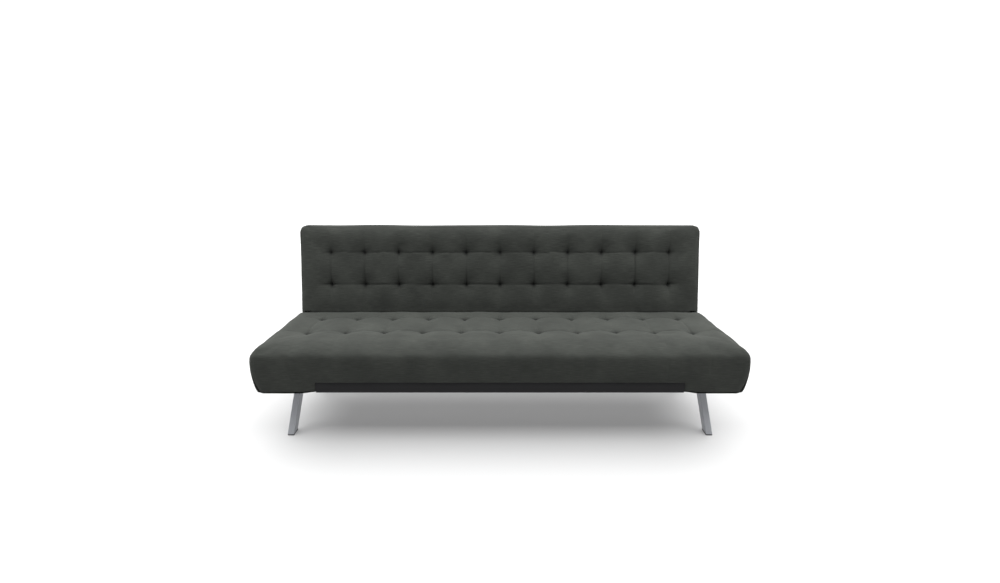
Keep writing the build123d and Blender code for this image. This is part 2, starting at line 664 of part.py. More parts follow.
def seat_bracket(side):
    """A forked bracket: two plates on a spacer, with the pivot's and the pawl pin's holes."""
    low, wide = span(side, hinge_inner, hinge_outer)
    slot_low, slot_wide = span(side, hinge_inner + HINGE_PLATE, outer_plate)
    with BuildPart() as bracket:
        with BuildSketch(side_plane(SEAT, side, low)) as outline:
            with Locations(pivot_on_seat):
                Circle(HINGE_EYE_RADIUS)
            with Locations(pin_on_seat):
                Circle(PAWL_EYE_RADIUS + 2)
            with Locations(seat_foot_middle):
                Rectangle(seat_foot_rear - seat_foot_front, HINGE_FOOT_HEIGHT)
            make_hull(outline.edges())
            with Locations(pivot_on_seat):
                Circle(PIVOT_HOLE_RADIUS, mode=Mode.SUBTRACT)
            with Locations(pin_on_seat):
                Circle(PAWL_PIN_RADIUS, mode=Mode.SUBTRACT)
            with Locations(*foot_bolts(seat_foot_middle)):
                Circle(BOLT_HOLE_RADIUS, mode=Mode.SUBTRACT)
        extrude(amount=wide)
        with BuildSketch(side_plane(SEAT, side, slot_low)):
            with Locations((seat_foot_rear + HINGE_FOOT_LENGTH, -PIVOT_DEPTH)):
                Rectangle(2 * HINGE_FOOT_LENGTH, 2 * SEAT_THICKNESS)
        extrude(amount=slot_wide, mode=Mode.SUBTRACT)
    return bracket


def back_arm(side):
    """An arm with an eye on the pivot and a toothed sector on its lower side."""
    low, wide = span(side, arm_inner, arm_outer)
    notch_start = PAWL_NOSE_ANGLE - FORWARD_NOTCHES * NOTCH_ANGLE
    teeth = [notch_start + (number - 0.5) * NOTCH_ANGLE for number in range(NOTCH_COUNT + 1)]
    first, last = teeth[0], teeth[-1]
    middle = (first + last) / 2
    with BuildPart() as arm:
        with BuildSketch(side_plane(BACK, side, low)) as outline:
            with Locations(pivot_on_back):
                Circle(RATCHET_HUB_RADIUS)
            with Locations(back_foot_middle):
                Rectangle(back_foot_high - back_foot_low, HINGE_FOOT_HEIGHT)
            make_hull(outline.edges())
            with Locations(*foot_bolts(back_foot_middle)):
                Circle(BOLT_HOLE_RADIUS, mode=Mode.SUBTRACT)
        extrude(amount=wide)
        with BuildSketch(pivot_plane(side, low)):
            with BuildLine():
                Line((0, 0), polar(RATCHET_ROOT_RADIUS, first))
                ThreePointArc(
                    polar(RATCHET_ROOT_RADIUS, first),
                    polar(RATCHET_ROOT_RADIUS, middle),
                    polar(RATCHET_ROOT_RADIUS, last),
                )
                Line(polar(RATCHET_ROOT_RADIUS, last), (0, 0))
            make_face()
            for angle in teeth:
                length = RATCHET_TIP_RADIUS - RATCHET_HUB_RADIUS
                with Locations(Location(polar(RATCHET_HUB_RADIUS + length / 2, angle), angle - 90)):
                    Rectangle(TOOTH_TIP, length)
                root = RATCHET_ROOT_RADIUS - 1
                with Locations(Location((0, 0), angle)):
                    Polygon(
                        (root, -TOOTH_ROOT / 2), (RATCHET_TIP_RADIUS, -TOOTH_TIP / 2),
                        (RATCHET_TIP_RADIUS, TOOTH_TIP / 2), (root, TOOTH_ROOT / 2), align=None,
                    )
        extrude(amount=wide)
        with BuildSketch(pivot_plane(side, low)):
            Circle(PIVOT_HOLE_RADIUS)
        extrude(amount=wide, mode=Mode.SUBTRACT)
    return arm


def pawl(side):
    """A pawl on its pin, held clear of the teeth by its lift angle."""
    low, wide = span(side, arm_inner + HINGE_SLIDE_GAP, arm_outer - HINGE_SLIDE_GAP)
    heel = polar(PAWL_HEEL_REACH, PAWL_NOSE_ANGLE)
    turn = Rot(0, 0, PAWL_LIFT)
    plane = Plane(origin=(side * low, pin_world.Y, pin_world.Z), x_dir=(0, 1, 0), z_dir=(1, 0, 0))
    plane = plane * turn
    pivot_from_pin = Location((-pin_place[0], -pin_place[1]))
    with BuildPart() as dog:
        with BuildSketch(plane) as outline:
            Circle(PAWL_EYE_RADIUS)
            with Locations((heel[0] - pin_place[0], heel[1] - pin_place[1])):
                Circle(PAWL_HEEL_RADIUS)
            make_hull(outline.edges())
            with Locations(pivot_from_pin * Location((0, 0), PAWL_NOSE_ANGLE)):
                Polygon(
                    (PAWL_NOSE_REACH, -PAWL_NOSE_TIP / 2), (PAWL_HEEL_REACH, -PAWL_NOSE_ROOT / 2),
                    (PAWL_HEEL_REACH, PAWL_NOSE_ROOT / 2), (PAWL_NOSE_REACH, PAWL_NOSE_TIP / 2),
                    align=None,
                )
            Circle(PAWL_PIN_RADIUS + HINGE_SLIDE_GAP, mode=Mode.SUBTRACT)
        extrude(amount=wide)
    return dog


for label, side in (("left", -1), ("right", 1)):
    save(seat_bracket(side), "hinge_seat_bracket_" + label)
    save(back_arm(side), "hinge_back_arm_" + label)
    save(pawl(side), "hinge_pawl_" + label)


def both_pins(place, radius, head_radius, head, inner, outer):
    """A headed pin on each side, from one distance from the middle to another."""
    with BuildPart() as pins:
        for side in (-1, 1):
            for size, near, far in (
                (radius, inner, outer),
                (head_radius, inner - head, inner),
                (head_radius, outer, outer + head),
            ):
                low, wide = span(side, near, far)
                with BuildSketch(pivot_plane(side, low)):
                    with Locations(place):
                        Circle(size)
                extrude(amount=wide)
    return pins


pin_outer = hinge_outer + PAWL_SPRING_TURNS * PAWL_SPRING_PITCH + 2 * (PAWL_SPRING_WIRE + STEP)
save(both_pins((0, 0), PIVOT_RADIUS, RIVET_HEAD_RADIUS, RIVET_HEAD, hinge_inner - HINGE_SLIDE_GAP,
               hinge_outer + HINGE_SLIDE_GAP), "hinge_pivot_pins")
save(both_pins(pin_place, PAWL_PIN_RADIUS - HINGE_SLIDE_GAP / 2, PAWL_PIN_HEAD_RADIUS, PAWL_PIN_HEAD,
               hinge_inner - HINGE_SLIDE_GAP, pin_outer), "hinge_pawl_pins")

with BuildPart() as hinge_washers:
    for side in (-1, 1):
        for near in (hinge_inner + HINGE_PLATE + HINGE_SLIDE_GAP, arm_outer + HINGE_SLIDE_GAP):
            low, wide = span(side, near, near + HINGE_WASHER)
            with BuildSketch(pivot_plane(side, low)):
                Circle(HINGE_WASHER_RADIUS)
                Circle(PIVOT_HOLE_RADIUS, mode=Mode.SUBTRACT)
            extrude(amount=wide)
save(hinge_washers, "hinge_washers")

with BuildPart() as hinge_pawl_springs:
    for side in (-1, 1):
        start = (side * (hinge_outer + PAWL_SPRING_WIRE + STEP), pin_world.Y, pin_world.Z)
        with BuildLine() as coil:
            Helix(PAWL_SPRING_PITCH, PAWL_SPRING_TURNS * PAWL_SPRING_PITCH, PAWL_SPRING_RADIUS,
                  center=start, direction=(side, 0, 0))
        with BuildSketch(Plane(origin=coil.line @ 0, z_dir=coil.line % 0)):
            Circle(PAWL_SPRING_WIRE)
        sweep(path=coil.line, is_frenet=True)
save(hinge_pawl_springs, "hinge_pawl_springs")


def foot_bolt_set(plane, middle, head_side, outer):
    """Bolts through a side rail and a hinge's foot, headed outside the hinge."""
    with BuildPart() as bolts:
        for side in (-1, 1):
            for size, near, far in (
                (BOLT_RADIUS, head_side - RAIL / 2, outer + STEP),
                (BOLT_HEAD_RADIUS, outer + STEP, outer + STEP + BOLT_HEAD),
            ):
                low, wide = span(side, near, far)
                with BuildSketch(side_plane(plane, side, low)):
                    with Locations(*foot_bolts(middle)):
                        Circle(size)
                extrude(amount=wide)
    return bolts


save(foot_bolt_set(SEAT, seat_foot_middle, rail_side, hinge_outer), "hinge_seat_bolts")
save(foot_bolt_set(BACK, back_foot_middle, back_rail_side, arm_outer), "hinge_back_bolts")

print("pivot", tuple(round(value, 4) for value in (PIVOT.X, PIVOT.Y, PIVOT.Z)))
print("pawl pin", tuple(round(value, 4) for value in (pin_world.X, pin_world.Y, pin_world.Z)))
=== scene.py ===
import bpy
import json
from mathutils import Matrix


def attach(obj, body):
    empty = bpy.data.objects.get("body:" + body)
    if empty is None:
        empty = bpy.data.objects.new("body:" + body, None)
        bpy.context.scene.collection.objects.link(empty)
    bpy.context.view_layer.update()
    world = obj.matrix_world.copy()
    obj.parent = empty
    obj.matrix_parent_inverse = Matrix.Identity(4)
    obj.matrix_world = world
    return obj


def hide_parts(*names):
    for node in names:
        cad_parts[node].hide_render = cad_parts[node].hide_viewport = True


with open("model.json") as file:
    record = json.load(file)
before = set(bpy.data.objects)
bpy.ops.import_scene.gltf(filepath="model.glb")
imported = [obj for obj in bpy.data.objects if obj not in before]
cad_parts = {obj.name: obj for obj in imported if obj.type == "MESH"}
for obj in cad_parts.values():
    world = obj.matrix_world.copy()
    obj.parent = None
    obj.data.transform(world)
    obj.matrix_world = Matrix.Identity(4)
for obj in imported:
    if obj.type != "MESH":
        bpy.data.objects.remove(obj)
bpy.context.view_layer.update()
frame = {"nodes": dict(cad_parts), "record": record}

import json
import math

import bpy
import numpy as np

MM = 0.001

# The sofa's own planes. The crease is where the seat's top plane meets the back's front plane.
SEAT_SLOPE = math.radians(3.0)
BACK_LEAN = math.radians(18.0)
PIVOT_DEPTH = 32.0 * MM  # the hinge pin lies this far under both planes
FOLD = math.pi / 2 - BACK_LEAN + SEAT_SLOPE

# Tufts, as sewn
TUFT_COLUMNS = 11
TUFT_SIDE_INSET = 142.0 * MM
SEAT_TUFT_ROWS = (-281.0 * MM, -113.0 * MM)
BACK_TUFT_ROWS = (108.0 * MM, 251.0 * MM)


# ---------------------------------------------------------------- places

class LocalPlane:
    """A cushion's own axes: x across the sofa, y along the cushion, z out of its face."""

    def __init__(self, origin, y_axis, z_axis):
        self.origin = np.array(origin, float)
        self.axes = np.array([(1.0, 0.0, 0.0), y_axis, z_axis], float)

    def to_world(self, points):
        """Origin plus each coordinate times its axis."""
        return self.origin + points @ self.axes

    def to_local(self, points):
        """Dot products of the offset from the origin with the three axes."""
        return (points - self.origin) @ self.axes.T


def joint_row(name):
    """The record's row for one joint."""
    return next(row for row in frame["record"]["behaviour"]["joints"] if row["name"] == name)


pivot = np.array(joint_row("back_recline")["pos_m"], float)
seat_back_axis = np.array([0.0, math.cos(SEAT_SLOPE), -math.sin(SEAT_SLOPE)])
seat_up_axis = np.array([0.0, math.sin(SEAT_SLOPE), math.cos(SEAT_SLOPE)])
back_up_axis = np.array([0.0, math.sin(BACK_LEAN), math.cos(BACK_LEAN)])
back_out_axis = np.array([0.0, -math.cos(BACK_LEAN), math.sin(BACK_LEAN)])
crease = pivot - seat_back_axis * PIVOT_DEPTH * math.tan(FOLD / 2) + seat_up_axis * PIVOT_DEPTH
seat_plane = LocalPlane(crease, seat_back_axis, seat_up_axis)
back_plane = LocalPlane(crease, back_up_axis, back_out_axis)


def vertex_places(mesh):
    """The vertices of a mesh as an array of points."""
    points = np.empty(len(mesh.vertices) * 3)
    mesh.vertices.foreach_get("co", points)
    return points.reshape(-1, 3)


def node_points(name):
    """All vertices of a CAD node."""
    return vertex_places(frame["nodes"][name].data)


def local_box(name, plane):
    """Lowest and highest corner of a CAD node in a cushion's own axes."""
    points = plane.to_local(node_points(name))
    return points.min(axis=0), points.max(axis=0)


def srgb(hex_value):
    """An sRGB hex colour as linear RGBA."""
    parts = [int(hex_value[i:i + 2], 16) / 255 for i in (1, 3, 5)]
    linear = [p / 12.92 if p <= 0.04045 else ((p + 0.055) / 1.055) ** 2.4 for p in parts]
    return (*linear, 1.0)


# ---------------------------------------------------------------- materials

def add_node(material, kind, place=(0, 0), inputs=None, **settings):
    """Adds one shader node, sets its properties, and sets or links its inputs."""
    node = material.node_tree.nodes.new(kind)
    node.location = place
    for name, value in settings.items():
        setattr(node, name, value)
    for name, value in (inputs or {}).items():
        if isinstance(value, bpy.types.NodeSocket):
            material.node_tree.links.new(value, node.inputs[name])
        else:
            node.inputs[name].default_value = value
    return node


def new_material(name):
    """An empty node material and its Principled shader."""
    material = bpy.data.materials.new(name)
    material.use_nodes = True
    shader = material.node_tree.nodes["Principled BSDF"]
    return material, shader


def ramp(material, factor, stops):
    """A colour ramp through (place, sRGB hex) stops."""
    node = add_node(material, "ShaderNodeValToRGB", inputs={"Fac": factor})
    elements = node.color_ramp.elements
    while len(elements) < len(stops):
        elements.new(0.5)
    for element, (place, colour) in zip(elements, stops):
        element.position = place
        element.color = srgb(colour)
    return node


THREAD = 1.7 * MM  # coarser than the real 0.6 mm threads, so that the weave shows
SLUB_LENGTH = 38.0 * MM
SLUB_WIDTH = 2.6 * MM
PATCHES = 7.0  # wear patches per metre
WAVE_UNIT = 0.314  # a wave texture of scale 1 repeats after this many metres


def woven_polyester(name, painted_shade_colour, dark, middle, light, sheen):
    """Linen-look woven polyester: matte threads both ways, slubs along the width, soft fuzz.

    Where the cloth is pulled into a fold, a seam or a tuft, a mesh attribute runs from 0 to 1, and
    there the colour is painted towards a near-black shade colour: painted shade in the folds, seams and
    tufts."""
    material, shader = new_material(name)
    uv = add_node(material, "ShaderNodeUVMap", uv_map="cloth").outputs["UV"]
    slub_map = add_node(material, "ShaderNodeMapping",
                        inputs={"Vector": uv, "Scale": (1 / SLUB_LENGTH, 1 / SLUB_WIDTH, 1)})
    slubs = add_node(material, "ShaderNodeTexNoise", noise_dimensions="2D",
                     inputs={"Vector": slub_map.outputs[0], "Scale": 1.0, "Detail": 3.0,
                             "Roughness": 0.6})
    patch = add_node(material, "ShaderNodeTexNoise", noise_dimensions="2D",
                     inputs={"Vector": uv, "Scale": PATCHES, "Detail": 3.0, "Roughness": 0.55})
    warp, weft = [
        add_node(material, "ShaderNodeTexWave", wave_type="BANDS", bands_direction=direction,
                 inputs={"Vector": uv, "Scale": WAVE_UNIT / THREAD / 2, "Distortion": wobble,
                         "Detail": 1.0, "Detail Scale": 3.0})
        for direction, wobble in (("X", 0.6), ("Y", 0.9))
    ]
    threads = add_node(material, "ShaderNodeMath", operation="MULTIPLY",
                       inputs={0: warp.outputs["Fac"], 1: weft.outputs["Fac"]})
    shade = add_node(material, "ShaderNodeMath", operation="MULTIPLY_ADD",
                     inputs={0: slubs.outputs["Fac"], 1: 0.50, 2: 0.10})
    mixed = add_node(material, "ShaderNodeMath", operation="MULTIPLY_ADD",
                     inputs={0: patch.outputs["Fac"], 1: 0.35, 2: shade.outputs[0]})
    woven = add_node(material, "ShaderNodeMath", operation="MULTIPLY_ADD",
                     inputs={0: threads.outputs[0], 1: 0.22, 2: mixed.outputs[0]})
    colour = ramp(material, woven.outputs[0], [(0.25, dark), (0.55, middle), (0.85, light)])
    # painted shade: the colour darkens towards the near-black shade colour where the attribute is high
    painted_shade = add_node(material, "ShaderNodeAttribute", attribute_name="painted_shade")
    shaded = add_node(material, "ShaderNodeMix", data_type="RGBA", clamp_factor=True,
                      inputs={0: painted_shade.outputs["Fac"], 6: colour.outputs["Color"], 7: srgb(painted_shade_colour)})
    height = add_node(material, "ShaderNodeMath", operation="MULTIPLY_ADD",
                      inputs={0: slubs.outputs["Fac"], 1: 0.7, 2: threads.outputs[0]})
    bump = add_node(material, "ShaderNodeBump",
                    inputs={"Height": height.outputs[0], "Strength": 0.35, "Distance": 0.5 * MM})
    links = material.node_tree.links
    links.new(shaded.outputs[2], shader.inputs["Base Color"])
    links.new(bump.outputs["Normal"], shader.inputs["Normal"])
    shader.inputs["Roughness"].default_value = 0.95
    shader.inputs["IOR"].default_value = 1.46
    shader.inputs["Specular IOR Level"].default_value = 0.25
    shader.inputs["Sheen Weight"].default_value = sheen
    shader.inputs["Sheen Roughness"].default_value = 0.45
    shader.inputs["Sheen Tint"].default_value = srgb("#b9bdb4")
    return material


ROUGHNESS_BELOW = 0.06  # how far the roughness varies either way
ROUGHNESS_ABOVE = 0.08
PLASTIC_IOR = 1.5  # of everything that isn't metal; a metal keeps the default


def grained(name, stops, scale, roughness, metallic=0.0, bump_mm=0.1, stretch=(1, 1, 1)):
    """A solid finish with a fine noise grain in its colour, relief and roughness."""
    material, shader = new_material(name)
    place = add_node(material, "ShaderNodeTexCoord").outputs["Object"]
    mapped = add_node(material, "ShaderNodeMapping", inputs={"Vector": place, "Scale": stretch})
    grain = add_node(material, "ShaderNodeTexNoise",
                     inputs={"Vector": mapped.outputs[0], "Scale": scale, "Detail": 5.0,
                             "Roughness": 0.6})
    colour = ramp(material, grain.outputs["Fac"], stops)
    bump = add_node(material, "ShaderNodeBump",
                    inputs={"Height": grain.outputs["Fac"], "Strength": 0.3,
                            "Distance": bump_mm * MM})
    rough = add_node(material, "ShaderNodeMapRange",
                     inputs={"Value": grain.outputs["Fac"], "To Min": roughness - ROUGHNESS_BELOW,
                             "To Max": roughness + ROUGHNESS_ABOVE})
    links = material.node_tree.links
    links.new(colour.outputs["Color"], shader.inputs["Base Color"])
    links.new(bump.outputs["Normal"], shader.inputs["Normal"])
    links.new(rough.outputs["Result"], shader.inputs["Roughness"])
    shader.inputs["Metallic"].default_value = metallic
    if metallic == 0.0:
        shader.inputs["IOR"].default_value = PLASTIC_IOR
    return material


# furnishing cloth: charcoal with slubs a shade lighter and darker, and near black where painted shade
# fills the folds, tufts and seams
charcoal_cloth = woven_polyester("charcoal woven polyester", "#0c0d0c", "#212220", "#2f312e",
                                 "#3f413d", 0.12)
# spun non-woven sheet: dull black with a faint pressed grain
black_sheet = grained("black non-woven polypropylene", [(0.3, "#0c0c0e"), (0.7, "#161618")], 900, 0.9)
# powder-coated steel: an even silver grey with a slight orange-peel surface
silver_steel = grained("silver powder-coated steel", [(0.3, "#a0a2a6"), (0.7, "#adafb4")], 450, 0.5,
                       metallic=0.1, bump_mm=0.05)
# foot caps: black with the soft shine of a moulding
black_plastic = grained("moulded black polyethylene", [(0.3, "#141414"), (0.7, "#1d1d1d")], 600, 0.5)
# hinges: pale, slightly mottled plating with a clear shine
zinc_steel = grained("zinc-plated steel", [(0.3, "#a9a9a2"), (0.7, "#c2c2bb")], 700, 0.32, metallic=1.0)
# bolts: near black, half matt
black_steel = grained("black oxide steel", [(0.3, "#1a1a1b"), (0.7, "#29292b")], 500, 0.5, metallic=0.6)
# springs and clips: drawn wire, grey and shiny
spring_steel = grained("drawn spring steel wire", [(0.3, "#6d6d6f"), (0.7, "#858588")], 800, 0.35,
                       metallic=1.0)
# frame timber: yellow-brown with long grain lines across the sofa
pine = grained("sawn pine", [(0.25, "#a9804f"), (0.5, "#c79f6b"), (0.75, "#d6b483")], 6, 0.75,
               stretch=(1, 9, 9), bump_mm=0.4)
# insulator pads: mixed greys with a hairy relief
felt = grained("needled grey felt", [(0.3, "#6f6e69"), (0.7, "#8f8e88")], 350, 0.95, bump_mm=0.5)
# tuft ties: black, faintly waxy
twine = grained("waxed black twine", [(0.3, "#1b1b1b"), (0.7, "#2b2b2b")], 900, 0.7)
# tuft washers: milky white
nylon = grained("natural nylon", [(0.3, "#c8c6ba"), (0.7, "#dad8cd")], 300, 0.5)

FINISHES = {
    "charcoal_cloth": charcoal_cloth,
    "foam": felt,  # inside the cushions, never seen
    "felt": felt,
    "spring_wire": spring_steel,
    "timber": pine,
    "black_cloth": black_sheet,
    "twine": twine,
    "washer_plastic": nylon,
    "silver_paint": silver_steel,
    "black_plastic": black_plastic,
    "zinc_steel": zinc_steel,
    "black_steel": black_steel,
}


def finish_cad_nodes():
    """Each CAD node gets the material of its slot in the record."""
    for row in frame["record"]["subparts"]:
        mesh = frame["nodes"][row["node"]].data
        mesh.materials.clear()
        mesh.materials.append(FINISHES[row["material_slot"]])


# ---------------------------------------------------------------- cushions' grids and edges

SEAT_STEPS = (11.5 * MM, 11.0 * MM, 11.5 * MM)  # grid steps across, along and up
BACK_STEPS = (11.5 * MM, 10.5 * MM, 11.0 * MM)
TUFT_STEP = 3.6 * MM  # grid step within TUFT_REACH of a tuft
TUFT_REACH = 10.8 * MM
NOTCH_STEP = 3.0 * MM
LEAST_STEP = 0.4 * MM
WELD = 0.01 * MM  # points closer than this become one
TOUCH = 0.001 * MM  # points closer than this to a plane lie on it
LEAST_LENGTH = 1e-9  # keeps a division by a length from failing
UNDER_CLOTH = 3.0  # the underside's cloth coordinates lie this far from the top's

SEAT_EDGE = 24.0 * MM  # radii of the finished cushions' edges
SEAT_NOSE = 42.0 * MM
LOWER_EDGE = 7.0 * MM
BACK_EDGE = 22.0 * MM
BACK_CORNER = 36.0 * MM  # radius of the back's top corners, seen from the front
HEM = 27.0 * MM  # width of the cloth turned under a cushion
SEAT_REAR_HEM = 19.0 * MM
FELT_GAP = 0.6 * MM  # from a felt pad to the hollow of its cushion
SEAM_INSET = 7.0 * MM  # from a cushion's edge to its sewn seam
SEAM_DEPTH = 1.4 * MM
SEAM_WIDTH = 2.4 * MM
SEAM_SHADE = 0.75  # painted shade in a seam: how far the colour goes towards the near-black shade colour


def step_in(value, edge, width):
    """0 below an edge and 1 above it, with a smooth step of a given width: 3t^2 - 2t^3."""
    t = np.clip((value - edge) / width + 0.5, 0, 1)
    return t * t * (3 - 2 * t)


def step_out(value, edge, width):
    """1 below an edge and 0 above it."""
    return step_in(-value, -edge, width)


def share(value, low, high):
    """0 at low and 1 at high, in proportion between them."""
    return np.clip((value - low) / (high - low), 0, 1)


def refined(low, high, coarse, centres, fine=TUFT_STEP, reach=TUFT_REACH):
    """Grid lines from low to high: fine steps within reach of each centre, coarse elsewhere."""
    stops = {low, high}
    for centre in centres:
        stops.update(np.clip(centre + np.arange(-reach, reach + fine / 2, fine), low, high))
    stops = np.array(sorted(stops))
    lines = [stops[:1]]
    for start, end in zip(stops[:-1], stops[1:]):
        count = max(1, int(round((end - start) / coarse)))
        lines.append(start + (end - start) * np.arange(1, count + 1) / count)
    lines = np.concatenate(lines)
    keep = np.append(True, np.diff(lines) > LEAST_STEP)
    return lines[keep]


def with_lines(lines, *more):
    """Grid lines with some more, in order and without doubles."""
    return np.unique(np.concatenate([lines, *more]))


def beside(places, gap=1.0 * MM):
    """Grid lines a gap to either side of each place, for a sharp step there."""
    return [place + gap * sign for place in places for sign in (-1, 1)]


def seam_lines(low, high):
    """Grid lines on and beside the seams near both ends of a side."""
    offsets = np.array([-SEAM_WIDTH, 0, SEAM_WIDTH])
    return np.concatenate([low + SEAM_INSET + offsets, high - SEAM_INSET + offsets])


def seam_mark(place, edge):
    """1 on the seam inside an edge, falling to 0 beside it: exp(-(distance/width)^2)."""
    return np.exp(-((place - edge + SEAM_INSET) / SEAM_WIDTH) ** 2)


def box_surface(xs, ys, zs):
    """A closed box as six grids welded along their edges.

    Returns points, quads and, for each quad corner, the flat cloth coordinates: x and y on the
    top and bottom, and the same sheet folded down on the four sides."""
    points, quads, cloth = [], [], []
    x0, x1, y0, y1, z0, z1 = xs[0], xs[-1], ys[0], ys[-1], zs[0], zs[-1]
    sides = (
        (xs, ys, lambda a, b: (a, b, z1 + 0 * a), lambda a, b: (a, b), False),
        (xs, ys, lambda a, b: (a, b, z0 + 0 * a), lambda a, b: (a, b + UNDER_CLOTH), True),
        (xs, zs, lambda a, b: (a, y0 + 0 * a, b), lambda a, b: (a, y0 - z1 + b), False),
        (xs, zs, lambda a, b: (a, y1 + 0 * a, b), lambda a, b: (a, y1 + z1 - b), True),
        (ys, zs, lambda a, b: (x0 + 0 * a, a, b), lambda a, b: (x0 - z1 + b, a), True),
        (ys, zs, lambda a, b: (x1 + 0 * a, a, b), lambda a, b: (x1 + z1 - b, a), False),
    )
    offset = 0
    for first, second, place, flat, turned in sides:
        a, b = np.meshgrid(first, second, indexing="ij")
        points.append(np.stack([np.broadcast_to(c, a.shape).ravel() for c in place(a, b)], axis=1))
        uv = np.stack([c.ravel() for c in flat(a, b)], axis=1)
        index = np.arange(a.size).reshape(a.shape)
        ring = [index[:-1, :-1], index[1:, :-1], index[1:, 1:], index[:-1, 1:]]
        if turned:
            ring = ring[::-1]
        quad = np.stack([r.ravel() for r in ring], axis=1)
        quads.append(quad + offset)
        cloth.append(uv[quad.ravel()])
        offset += a.size
    points = np.concatenate(points)
    quads = np.concatenate(quads)
    _, first_seen, welded = np.unique(np.round(points / WELD).astype(np.int64), axis=0,
                                      return_index=True, return_inverse=True)
    return points[first_seen], welded.ravel()[quads], np.concatenate(cloth)


def round_back(points, low, high, sunk):
    """A sharp box to the back's rounded one: the nearest inner point plus the edge radius.

    The inner box's two upper corners are rounded as well, so that with the edge radius they make
    the larger corner radius. sunk is how far each point lies under the rounded surface."""
    inner = np.clip(points, low + BACK_EDGE, high - BACK_EDGE)
    centre = np.clip(inner[:, :2], (low + BACK_CORNER)[:2], (high - BACK_CORNER)[:2])
    corner_height = high[1] - BACK_CORNER
    centre[:, 1] = np.where(inner[:, 1] > corner_height, corner_height, inner[:, 1])
    offset = inner[:, :2] - centre
    reach = np.maximum(np.hypot(offset[:, 0], offset[:, 1]), LEAST_LENGTH)
    offset *= np.minimum(1, (BACK_CORNER - BACK_EDGE) / reach)[:, None]
    inner[:, :2] = centre + offset
    away = points - inner
    length = np.maximum(np.linalg.norm(away, axis=1), LEAST_LENGTH)
    return inner + away * ((BACK_EDGE - sunk) / length)[:, None]


def round_seat(points, low, high, sunk):
    """A sharp box to the seat's rounded one: the nearest inner point plus a radius for each axis.

    The radius grows to a nose at the top of the front, and is small along the lower edges. sunk
    is how far each point lies under the rounded surface."""
    nose = step_out(points[:, 1], low[1] + 100 * MM, 120 * MM)
    edge = SEAT_EDGE + (SEAT_NOSE - SEAT_EDGE) * nose
    radii = np.stack([np.full(len(points), SEAT_EDGE), edge, edge], axis=1)
    inner_low = low + radii
    inner_high = high - radii
    inner_low[:, 2] = low[2] + LOWER_EDGE
    radii[points[:, 2] < low[2] + LOWER_EDGE, 2] = LOWER_EDGE
    inner = np.clip(points, inner_low, inner_high)
    away = (points - inner) / radii
    length = np.maximum(np.linalg.norm(away, axis=1, keepdims=True), LEAST_LENGTH)
    return inner + away / length * (radii - sunk[:, None])


def make_mesh(name, points, quads, material, cloth=None, painted_shade=None):
    """A smooth mesh object from arrays, with cloth coordinates and the painted shade attribute if
    given.
    """
    mesh = bpy.data.meshes.new(name)
    mesh.vertices.add(len(points))
    mesh.vertices.foreach_set("co", np.asarray(points, np.float32).ravel())
    mesh.loops.add(quads.size)
    mesh.loops.foreach_set("vertex_index", quads.ravel().astype(np.int32))
    mesh.polygons.add(len(quads))
    mesh.polygons.foreach_set("loop_start", np.arange(0, quads.size, quads.shape[1], dtype=np.int32))
    mesh.polygons.foreach_set("loop_total", np.full(len(quads), quads.shape[1], np.int32))
    mesh.polygons.foreach_set("use_smooth", np.ones(len(quads), bool))
    if cloth is not None:
        layer = mesh.uv_layers.new(name="cloth")
        layer.data.foreach_set("uv", cloth.astype(np.float32).ravel())
    # the painted shade in folds, tufts and seams, as a mesh attribute
    if painted_shade is not None:
        layer = mesh.attributes.new("painted_shade", "FLOAT", "POINT")
        layer.data.foreach_set("value", np.clip(painted_shade, 0, 1).astype(np.float32))
    mesh.update(calc_edges=True)
    mesh.validate()
    piece = bpy.data.objects.new(name, mesh)
    bpy.context.scene.collection.objects.link(piece)
    mesh.materials.append(material)
    return piece


# ---------------------------------------------------------------- tufts, creases and swelling

CROWN = 7.0 * MM  # a cushion's middle stands this far over its edges
FACE_RUN = 30.0 * MM  # the face's relief fades out over this height at its edges
SEAT_TUFT_DEPTH = 19.0 * MM
BACK_TUFT_DEPTH = 22.0 * MM
DIMPLE = 9.0 * MM  # size of a tuft's sharp dimple
DIMPLE_SHARE = 0.66  # the rest of the depth is the wide hollow
HOLLOW = 40.0 * MM
# width of the painted shade round a tuft's dimple
DIMPLE_SHADE = 10.5 * MM
ARM_START = 6.0 * MM  # the creases out of a tuft
ARM_WIDTH = 4.5 * MM
# the painted shade along a crease fades out over this length
ARM_SHADE = 16.0 * MM
ARM_ACROSS = 0.13  # their shares of the tuft's depth
ARM_ALONG = 0.28
CREASE_WIDTH = 4.0 * MM
CREASE_END = 8.0 * MM  # a long crease fades out over this length


def tuft_columns(side):
    """Evenly spaced columns between the two side insets."""
    return np.linspace(-side + TUFT_SIDE_INSET, side - TUFT_SIDE_INSET, TUFT_COLUMNS)


def waves(a, b, size, count, seed):
    """Soft random waves over a plane: a sum of plane sine waves about one size long, from -1 to 1."""
    source = np.random.default_rng(seed)
    total = np.zeros_like(a)
    for _ in range(count):
        angle = source.uniform(0, math.pi)
        length = size * source.uniform(0.6, 1.6)
        phase = source.uniform(0, 2 * math.pi)
        total += np.sin(2 * math.pi * (a * math.cos(angle) + b * math.sin(angle)) / length + phase)
    return total / math.sqrt(count) / 1.5


